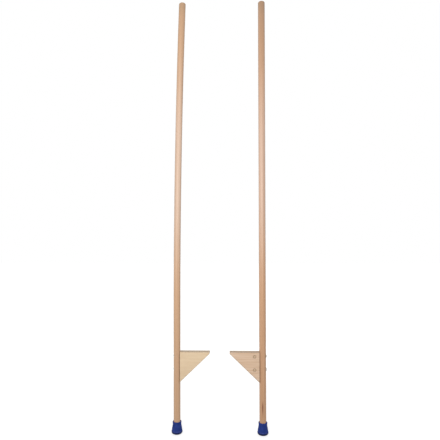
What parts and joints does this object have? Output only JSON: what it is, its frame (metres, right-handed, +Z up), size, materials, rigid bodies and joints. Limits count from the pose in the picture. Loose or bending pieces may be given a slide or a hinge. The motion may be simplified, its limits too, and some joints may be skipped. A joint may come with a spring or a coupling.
{
  "type": "walking stilts",
  "caption": "Upright wooden walking stilts: round beech poles with bolted triangular steps facing inward and flared blue rubber feet.",
  "frame": {"origin": "on the ground, midway between the two pole axes", "axes": "+Z up along the poles, +X from the left stilt to the right stilt, +Y to the back"},
  "size_m": [0.4016, 0.0456, 1.8],
  "materials": {
    "pole_beech": "fine-sanded beech with a thin clear coat",
    "step_plywood": "sanded plywood with a thin clear coat and rounded edges",
    "foot_rubber": "satin moulded blue rubber",
    "zinc_steel": "bright zinc plating"
  },
  "bodies": {
    "left_stilt": {"left_pole": "pole_beech", "left_step": "step_plywood", "left_ferrule": "foot_rubber", "left_ferrule_washer": "zinc_steel", "left_upper_bolt": "zinc_steel", "left_lower_bolt": "zinc_steel", "left_upper_barrel_nut": "zinc_steel", "left_lower_barrel_nut": "zinc_steel"},
    "right_stilt": {"right_pole": "pole_beech", "right_step": "step_plywood", "right_ferrule": "foot_rubber", "right_ferrule_washer": "zinc_steel", "right_upper_bolt": "zinc_steel", "right_lower_bolt": "zinc_steel", "right_upper_barrel_nut": "zinc_steel", "right_lower_barrel_nut": "zinc_steel"}
  },
  "joints": [
    {"name": "right_stilt_lift", "type": "slide", "parent": "left_stilt", "child": "right_stilt", "axis": [0, 0, 1], "range_m": [0, 0.25]}
  ]
}
